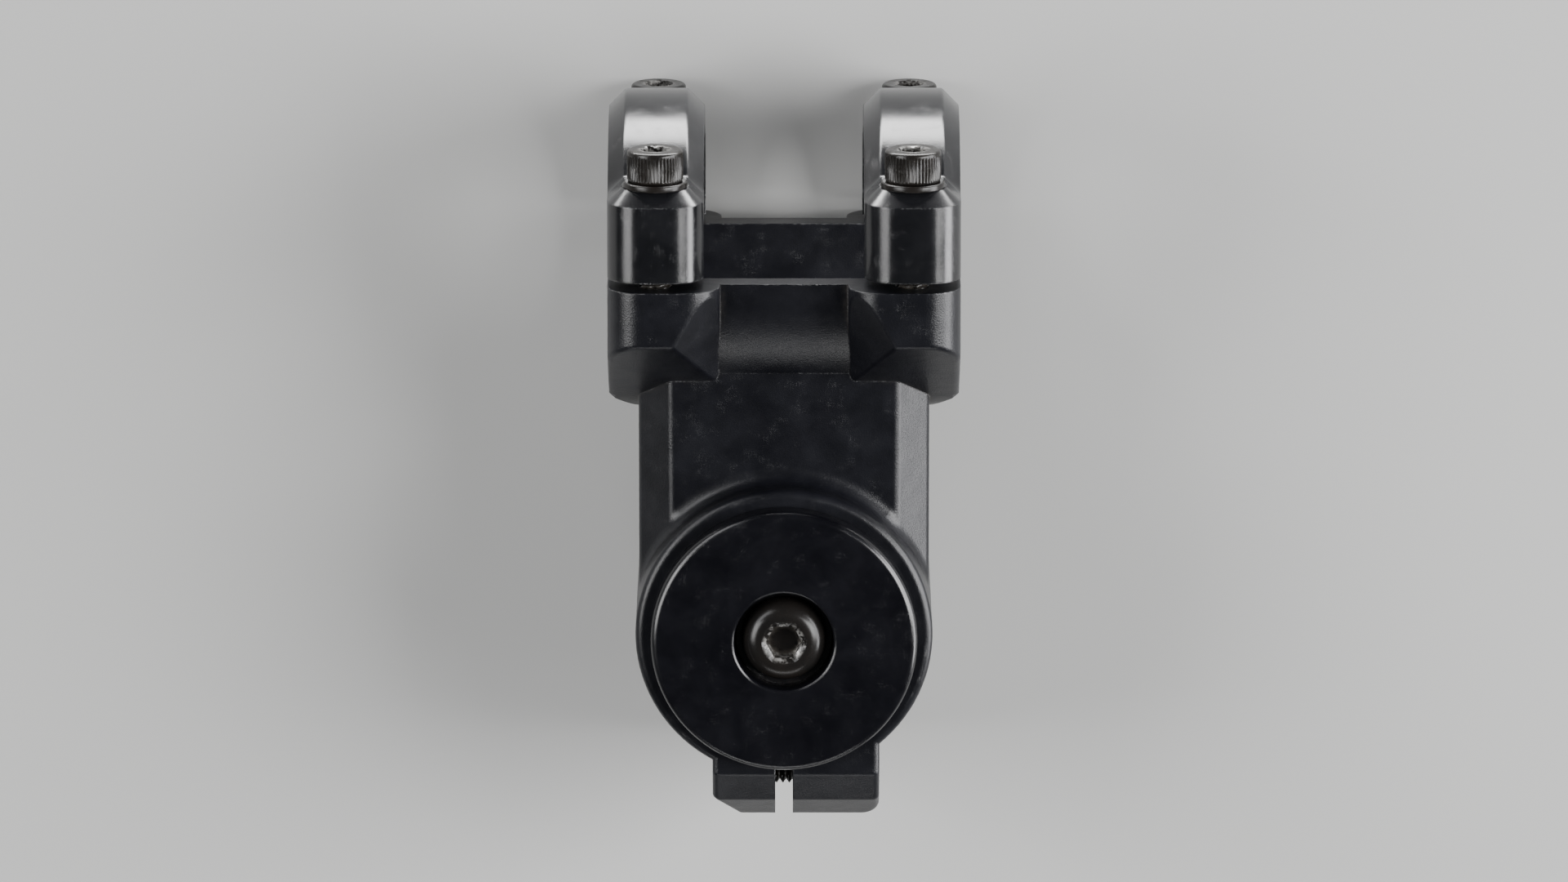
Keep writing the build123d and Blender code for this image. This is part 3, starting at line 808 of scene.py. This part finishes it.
class STEM_OT_top_cap(bpy.types.Operator):
    """Turn the preload cap with its rounded rim, recess and skirt"""
    bl_idname = "stem.top_cap"
    bl_label = "Make Cap"

    def execute(self, context):
        colours = context.scene.stem_finish_colours
        low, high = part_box("top_cap")
        bottom, top = low.z / MM, high.z / MM
        rim = (high.x - low.x) / 2 / MM
        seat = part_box("preload_screw")[1].z / MM - BUTTON_HEAD
        shoulder = top - 3.4
        hole, recess, skirt = 3.3, 6.2, 11.8
        lower_edge, upper_edge, recess_edge = 0.3, 0.9, 0.42
        centre = (0.0, 0.0, top * MM)
        finish = anodised("cap_turned_black", colours.cap, rough=0.2, specular=0.4,
                          grain_size=0.1, grain_depth=0.000006, wear=0.35, dust=0.15,
                          rings=(centre, (0, 0, 1), 0.11, 0.000005))
        rows = [row(hole, bottom), row(skirt - 0.3, bottom), row(skirt, bottom + 0.3),
                row(skirt, shoulder - 0.5), row(skirt + 0.15, shoulder - 0.12),
                row(skirt + 0.4, shoulder), row(rim - 0.35, shoulder)]
        rows += arc((rim - lower_edge, shoulder + lower_edge), lower_edge, -80, 0, 5)
        rows += arc((rim - upper_edge, top - upper_edge), upper_edge, 0, 90, 12)
        rows += [row(rim - 2.2, top), row(10.0, top), row(recess + 0.7, top)]
        rows += arc((recess + 0.45, top - recess_edge), recess_edge, 84, 172, 7)
        rows += [row(recess, top - 0.7), row(recess, seat + 0.25),
                 row(recess - 0.15, seat + 0.06), row(recess - 0.4, seat),
                 row(hole + 0.2, seat), row(hole, seat - 0.2), row(hole, bottom)]
        piece = placed_object("top_cap_turned", [spin(rows, 128, finish)], Vector(), UP, finish)
        stand_for(piece, "top_cap")
        return {"FINISHED"}


class STEM_OT_preload_screw(bpy.types.Operator):
    """Make the button head screw that draws the cap down"""
    bl_idname = "stem.preload_screw"
    bl_label = "Make Preload Screw"

    def execute(self, context):
        sizes = context.scene.stem_screw_sizes
        low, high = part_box("preload_screw")
        head_radius = (high.x - low.x) / 2 / MM
        seat = Vector((0, 0, high.z - BUTTON_HEAD * MM))
        length = (seat.z - low.z) / MM
        finish = black_oxide("preload_screw_oxide", tuple(seat), (0, 0, 1),
                             sizes.socket / 2 / MM + 0.3)
        flat, foot, dome_rows = 2.95, 0.62, 14
        head = [row(0, 0), row(head_radius - 0.2, 0), row(head_radius, 0.18),
                row(head_radius, foot)]
        rise, span = BUTTON_HEAD - foot, head_radius - flat
        for k in range(1, dome_rows + 1):
            angle = math.pi / 2 * k / dome_rows
            head.append(row(flat + span * math.cos(angle) ** 0.9, foot + rise * math.sin(angle)))
        head += socket_rows(BUTTON_HEAD, sizes.socket / MM, 1.95, 2.9, lead=0.5)
        meshes = [spin(head, 96, finish),
                  threaded_shank(PRELOAD_SHANK, length, sizes.preload_pitch, finish)]
        piece = placed_object("preload_screw_threaded", meshes, seat, UP, finish)
        stand_for(piece, "preload_screw")
        return {"FINISHED"}


class STEM_OT_star_nut(bpy.types.Operator):
    """Give the star nut inside the steerer its zinc plating"""
    bl_idname = "stem.star_nut"
    bl_label = "Finish Star Nut"

    def execute(self, context):
        finish = zinc_plate("star_nut_zinc")
        for node in ("star_nut_sleeve", "star_nut_upper_spring", "star_nut_lower_spring"):
            finish_node(node, finish)
        return {"FINISHED"}


# Stage

def make_floor(height):
    """Pale matt floor at a height."""
    settings = bpy.context.scene.stem_stage_settings
    reach = 6.0
    corners = [(-reach, -reach, 0), (reach, -reach, 0), (reach, reach, 0), (-reach, reach, 0)]
    mesh = bpy.data.meshes.new("floor")
    mesh.from_pydata(corners, [], [(0, 1, 2, 3)])
    floor = bpy.data.objects.new("floor", mesh)
    bpy.context.scene.collection.objects.link(floor)
    floor.location.z = height
    material, t, shader = new_material("floor_pale")
    mottle = t.noise(t.add("ShaderNodeTexCoord").outputs["Object"], 3.0, 2.0)
    darker = tinted(settings.floor, (0.96, 0.96, 0.96))
    t.put(t.blend(t.ramp(mottle, 0.3, 0.7), tuple(settings.floor), darker),
          shader.inputs["Base Color"])
    shader.inputs["Roughness"].default_value = 0.9
    shader.inputs["Specular IOR Level"].default_value = 0.1
    mesh.materials.append(material)


def make_world():
    """Dim, slightly cool light from all round."""
    world = bpy.context.scene.world or bpy.data.worlds.new("studio")
    bpy.context.scene.world = world
    world.use_nodes = True
    backdrop = world.node_tree.nodes["Background"]
    backdrop.inputs["Color"].default_value = (0.9, 0.95, 1.0, 1)
    backdrop.inputs["Strength"].default_value = 0.06


def soft_light(name, place, aim, width, height, watts, colour=PLAIN):
    """Rectangular softbox at place, facing aim."""
    data = bpy.data.lights.new(name, "AREA")
    data.shape = "RECTANGLE"
    data.size, data.size_y = width, height
    data.energy = watts
    data.color = colour
    lamp = bpy.data.objects.new(name, data)
    bpy.context.scene.collection.objects.link(lamp)
    lamp.location = place
    lamp.rotation_mode = "QUATERNION"
    lamp.rotation_quaternion = (Vector(aim) - Vector(place)).to_track_quat("-Z", "Y")
    lamp.visible_camera = False


def make_camera(middle):
    """Camera above and a little ahead of the stem, with the handlebar's side up."""
    settings = bpy.context.scene.stem_stage_settings
    data = bpy.data.cameras.new("camera")
    camera = bpy.data.objects.new("camera", data)
    bpy.context.scene.collection.objects.link(camera)
    data.lens = settings.lens
    data.sensor_width = 36.0
    data.clip_start, data.clip_end = 0.01, 20.0
    towards = Vector((0, -math.sin(settings.tilt), math.cos(settings.tilt)))
    above = Vector((0, -math.cos(settings.tilt), -math.sin(settings.tilt)))
    sideways = above.cross(towards)
    camera.location = middle + towards * settings.distance
    camera.rotation_mode = "QUATERNION"
    camera.rotation_quaternion = Matrix((sideways, above, towards)).transposed().to_quaternion()
    bpy.context.scene.camera = camera


class STEM_OT_stage(bpy.types.Operator):
    """Set the floor, the soft lights and the camera above and ahead of the stem"""
    bl_idname = "stem.stage"
    bl_label = "Set Stage"

    def execute(self, context):
        low, high = Vector(CAD_BOX[0]), Vector(CAD_BOX[1])
        middle = (low + high) / 2
        make_floor(low.z - 0.0002)
        make_world()
        card = Vector((0.0, -0.27, low.z + 0.001))
        soft_light("low_front_card", card, card + UP, 0.2, 0.3, 6.5)
        for name, place, width, height, watts, colour in SOFTBOXES:
            soft_light(name, place, middle, width, height, watts, colour)
        make_camera(middle)
        return {"FINISHED"}


OPERATORS = (
    STEM_OT_body_finish, STEM_OT_strap_finish, STEM_OT_strap_screws, STEM_OT_pinch_screws,
    STEM_OT_top_cap, STEM_OT_preload_screw, STEM_OT_star_nut, STEM_OT_stage,
)


class STEM_PT_looks(bpy.types.Panel):
    """Lists the stem's operators and settings"""
    bl_idname = "STEM_PT_looks"
    bl_label = "Handlebar Stem"
    bl_space_type = "VIEW_3D"
    bl_region_type = "UI"
    bl_category = "Stem"

    def draw(self, context):
        for operator in OPERATORS:
            self.layout.operator(operator.bl_idname)
        for label, group in GROUPS.items():
            box = self.layout.box()
            box.label(text=group.__doc__)
            settings = getattr(context.scene, label)
            for key in group.__annotations__:
                box.prop(settings, key)


CLASSES = (*GROUPS.values(), *OPERATORS, STEM_PT_looks)


def register():
    for cls in CLASSES:
        bpy.utils.register_class(cls)
    for label, group in GROUPS.items():
        setattr(bpy.types.Scene, label, bpy.props.PointerProperty(type=group))


def unregister():
    for label in GROUPS:
        delattr(bpy.types.Scene, label)
    for cls in reversed(CLASSES):
        bpy.utils.unregister_class(cls)


def main():
    """Registers the add-on and makes every piece."""
    register()
    for operator in OPERATORS:
        family, name = operator.bl_idname.split(".")
        getattr(getattr(bpy.ops, family), name)()


if __name__ == "__main__":
    main()
